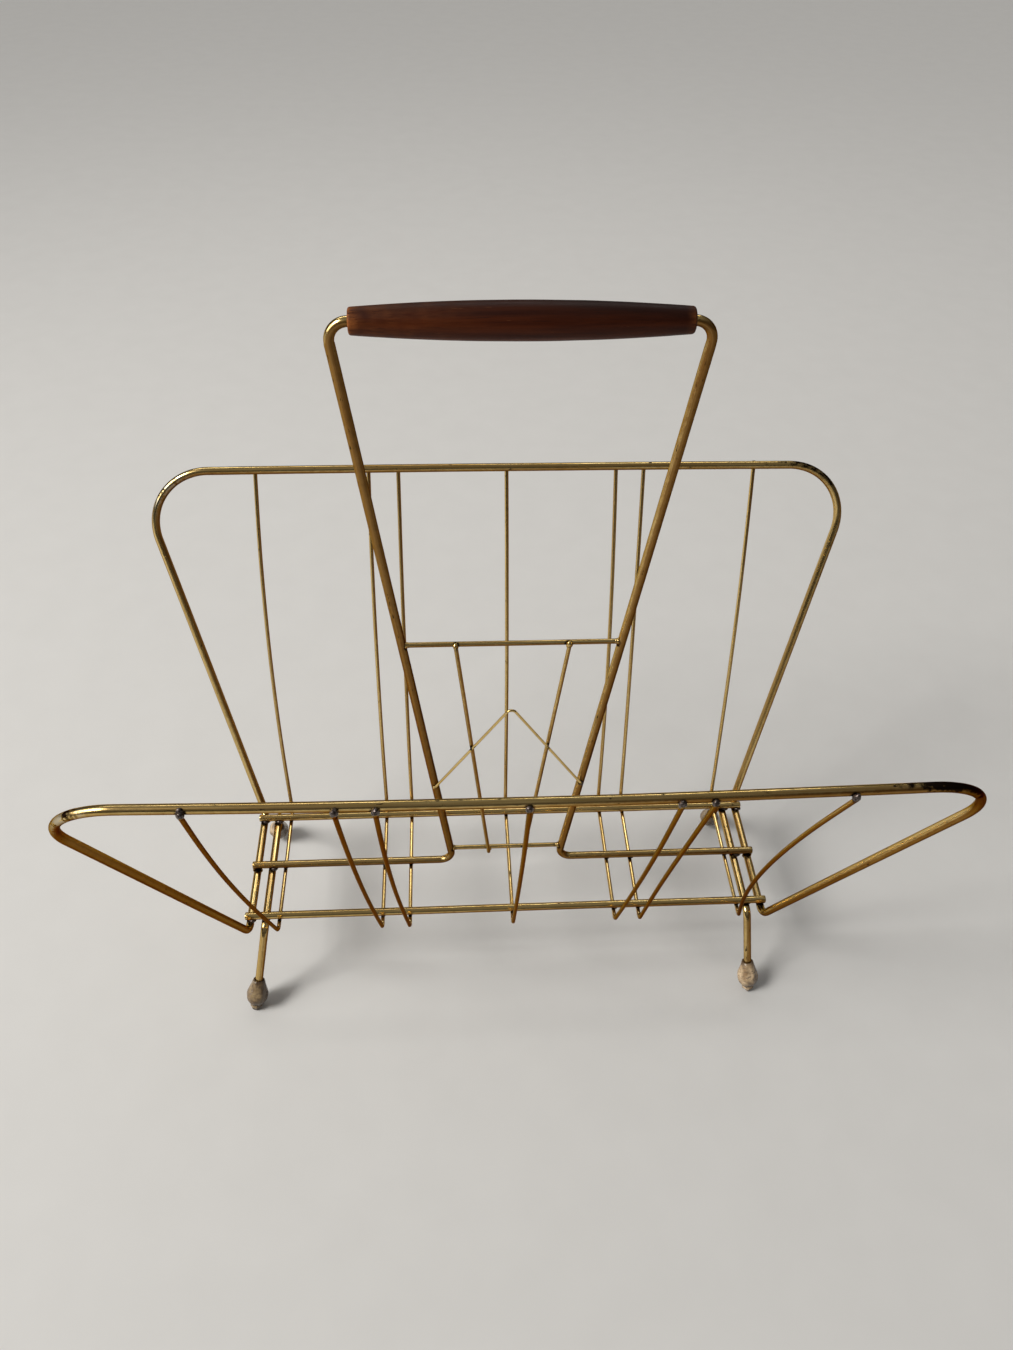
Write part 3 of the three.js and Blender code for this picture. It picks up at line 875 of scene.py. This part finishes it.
def build_grip(material):
    """A turned wooden sleeve on the handle rod, thickest in the middle and bored through."""
    low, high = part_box("grip")
    axis_y = (low.y + high.y) / 2
    axis_z = (low.z + high.z) / 2
    corners = np.array([v.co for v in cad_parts["grip"].data.vertices])
    out = np.hypot(corners[:, 1] - axis_y, corners[:, 2] - axis_z)
    face = corners[:, 0] > high.x - 1e-6
    bore = float(out[face].min())
    rim = float(out[face].max())
    shoulder_x = float(np.max(corners[~face, 0]))
    shoulder = float(out[np.abs(corners[:, 0] - shoulder_x) < 1e-6].max())
    middle = (high.z - low.z) / 2
    corner = shoulder - rim

    half_outline = [
        (high.x - BORE_MOUTH, bore),
        (high.x - BORE_EDGE, bore),
        (high.x - 0.2 * BORE_EDGE, bore + BORE_EDGE),
        (high.x, (bore + rim) / 2),
        (high.x, rim - 0.2 * MM),
    ]
    for k in range(GRIP_ARC_STEPS + 1):
        angle = math.pi / 2 * k / GRIP_ARC_STEPS
        half_outline.append((
            shoulder_x + corner * math.cos(angle),
            rim + corner * math.sin(angle),
        ))
    outline = list(half_outline)
    for k in range(1, 2 * GRIP_SWELL_STEPS):
        place = 1 - k / GRIP_SWELL_STEPS
        outline.append((place * shoulder_x, middle - (middle - shoulder) * place * place))
    outline += [(-x, r) for x, r in reversed(half_outline)]

    vertices, along, wear_and_crease_shade, shade = [], [], [], []
    for x, radius in outline:
        for k in range(GRIP_SIDES):
            angle = 2 * math.pi * k / GRIP_SIDES
            y = math.cos(angle) * radius
            z = math.sin(angle) * radius
            place = Vector((x, y, z))
            uneven = 1 + GRIP_UNEVEN * noise.noise(place / GRIP_SWELLS)
            vertices.append((x, axis_y + y * uneven, axis_z + z * uneven))
            along.append((x + 1.0, y, z))
            near_end = max(0.0, 1 - (high.x - abs(x)) / WEAR_DEPTH)
            near_end *= 1.0 if x < 0 else RIGHT_WEAR
            faint = max(0.0, 1 - (x - low.x) / FAINT_DEPTH) * FAINT_WEAR
            patch = 0.6 + 0.8 * noise.noise(place / WEAR_PATCHES)
            wear_and_crease_shade.append(min(1.0, max(0.0, (near_end + faint) * patch)))
            on_top = max(0.0, math.sin(angle) - SHADE_START)
            toward_right = max(0.0, x / high.x) * RIGHT_SHADE
            shade.append(min(MOST_SHADE, on_top + toward_right))
    faces = [tuple(reversed(f)) for f in loft_faces(len(outline), GRIP_SIDES, closed_round=True)]
    piece = add_piece("wooden_grip", vertices, faces, material, "grip",
                      {"along": along, "wear_and_crease_shade": wear_and_crease_shade, "shade": shade})
    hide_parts("grip")


# ---------------------------------------------------------------- feet

FOOT_SIDES = 56
FOOT_NUB_TOP = 5.8 * MM
FOOT_OUTLINE = [                # millimetres up from the floor, and the radius there
    (0.0, 0.4), (0.4, 1.1), (1.4, 1.7), (2.4, 2.3), (3.0, 3.0), (3.6, 3.6), (4.4, 3.75), (5.2, 3.5),
    (5.8, 3.3), (6.2, 3.7), (6.8, 4.5), (7.6, 5.4), (8.8, 6.2), (10.2, 6.7), (11.8, 6.95),
    (13.4, 6.95), (15.0, 6.65), (16.6, 6.15), (18.2, 5.6), (19.8, 5.05), (21.4, 4.6),
    (23.0, 4.25), (24.4, 4.02),
]
FOOT_COLLAR = 3.8 * MM
SOCKET_GAP = 0.05 * MM          # between the leg rod and the foot's socket
SOCKET_DEPTH = 5 * MM
SEAM_START = 0.995              # the moulding seams are where the angle's cosine is past this
SEAM_HEIGHT = 36 * MM           # for each unit past it
CREASES = [                     # swings round the foot, their height and their depth
    (1.5, 6 * MM, 0.45 * MM),
    (4.0, 5 * MM, 0.28 * MM),
]
CREASE_SHADE_WIDTH = 0.9 * MM          # either side of the nub's top, and below the collar's rim, the creases are painted darker as painted shade
# How dark that painted crease shade gets.
CREASE_SHADE_MOST = 0.85
SPIKES = 2.4                    # swings of the torn edge round the nub
TORN_OUT = 1.6 * MM             # how far a torn nub is pushed out
TORN_UP = 2.4 * MM              # and pulled up
FEET = [                        # side, end, plastic, and how torn the nub is
    ("left", "front", "dirty", 1.0),
    ("right", "front", "cream", 0.25),
    ("left", "rear", "cream", 0.3),
    ("right", "rear", "dirty", 0.5),
]


def foot_rings(length, socket):
    """The foot's outline, up over its collar and down into the socket that holds the leg."""
    rings = [(z * MM, radius * MM) for z, radius in FOOT_OUTLINE if z * MM < length - 1 * MM]
    rings += [
        (length - 0.3 * MM, FOOT_COLLAR),
        (length, FOOT_COLLAR - 0.3 * MM),
        (length - 0.05 * MM, socket + 0.2 * MM),
        (length - 0.6 * MM, socket),
        (length - SOCKET_DEPTH, socket),
    ]
    return rings


def build_foot(name, rod, end, material, seed, ragged):
    """A moulded acorn foot around the end of a leg rod, standing on its worn nub. End says
    whether it is the rod's last end, seed sets its pattern, and ragged is how torn its nub is."""
    last = len(rod.points) - 1
    tip = Vector(rod.points[last if end else 0])
    down = Vector(rod.tangents[last if end else 0]) * (1 if end else -1)
    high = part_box(name)[1].z
    floor_point = tip + down * (tip.z / -down.z)
    lean = math.sqrt(1 - down.z * down.z)
    length = (high - FOOT_COLLAR * lean) / -down.z
    socket = rod.radius + SOCKET_GAP
    rings = foot_rings(length, socket)
    first, second = turn_about(-down)
    vertices, along, wear_and_crease_shade = [], [], []
    for z, radius in rings:
        for k in range(FOOT_SIDES):
            angle = 2 * math.pi * k / FOOT_SIDES
            outward = first * math.cos(angle) + second * math.sin(angle)
            above = Vector((seed * 0.37, 0, z))
            crease = 0.0
            for swings, height, depth in CREASES:
                crease += noise.noise(outward * swings + above / height) * depth
            seam = max(abs(math.cos(angle)) - SEAM_START, 0) * SEAM_HEIGHT
            if radius < socket + 0.3 * MM:
                crease = seam = 0.0
            place = floor_point - down * z + outward * (radius + crease + seam)
            torn = max(0.0, 1 - z / FOOT_NUB_TOP) * ragged
            spike = noise.noise(outward * SPIKES + Vector((seed, 0, 0)))
            place += outward * spike * torn * TORN_OUT
            place.z += max(spike, 0.0) * torn * TORN_UP
            place.z = max(place.z, 0.0)
            vertices.append(place)
            along.append((seed + z, radius * math.cos(angle), radius * math.sin(angle)))
            # Painted shade in the crease at the nub's top and under the collar's rim.
            groove = max(0.0, 1 - abs(z - FOOT_NUB_TOP) / CREASE_SHADE_WIDTH)
            rim = max(0.0, 1 - (length - z) / CREASE_SHADE_WIDTH)
            wear_and_crease_shade.append(min(1.0, CREASE_SHADE_MOST * (groove + rim)))
    faces = loft_faces(len(rings), FOOT_SIDES)
    piece = add_piece(name.replace("foot", "acorn_foot"), vertices, faces, material, "frame",
                      {"along": along, "wear_and_crease_shade": wear_and_crease_shade})
    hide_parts(name)


# ---------------------------------------------------------------- floor

FLOOR_HALF = 6.0


def build_floor():
    half = FLOOR_HALF
    corners = [(-half, -half, 0), (half, -half, 0), (half, half, 0), (-half, half, 0)]
    floor = add_piece("floor", corners, [(0, 1, 2, 3)], floor_finish(), None)


# ---------------------------------------------------------------- put together

ROD_BANDS = 420                 # bands for each metre across
WIRE_BANDS = 700
# The chevron is less tarnished and painted brighter: a painted highlight.
CHEVRON_CLEAN_AND_HIGHLIT = 0.8
PATTERN_GAP = 0.5               # metres of pattern left out between two rods
SEED = 7

random.seed(SEED)
noise.seed_set(SEED)
add_camera()
for light in AREA_LIGHTS:
    add_area_light(*light)
add_key_light()
add_world()
build_floor()

rod_brass = brass_finish("rod_brass", ROD_BANDS)
wire_brass = brass_finish("wire_brass", WIRE_BANDS)
chevron_brass = brass_finish("chevron_brass", WIRE_BANDS, CHEVRON_CLEAN_AND_HIGHLIT)

place_along = 0.0
for node in ROD_NODES:
    place_along += build_rod(rods[node], ROD_SIDES, rod_brass, place_along)
    place_along += PATTERN_GAP
for node in WIRE_NODES:
    finish = chevron_brass if node == "divider_chevron" else wire_brass
    place_along += build_rod(rods[node], WIRE_SIDES, finish, place_along)
    place_along += PATTERN_GAP

build_welds(weld_finish(), wire_brass)
build_grip(wood_finish())

plastics = {
    "dirty": foot_finish("foot_plastic_dirty", DIRTY_PALE, DIRTY_DEEP),
    "cream": foot_finish("foot_plastic_cream", CREAM_PALE, CREAM_DEEP),
}
for seed, (side, lean_end, plastic, ragged) in enumerate(FEET, start=1):
    leg = rods[f"leg_rod_{side}"]
    back_last = leg.points[-1][1] > 0
    end = back_last == (lean_end == "rear")
    build_foot(f"foot_{lean_end}_{side}", leg, end, plastics[plastic], seed, ragged)
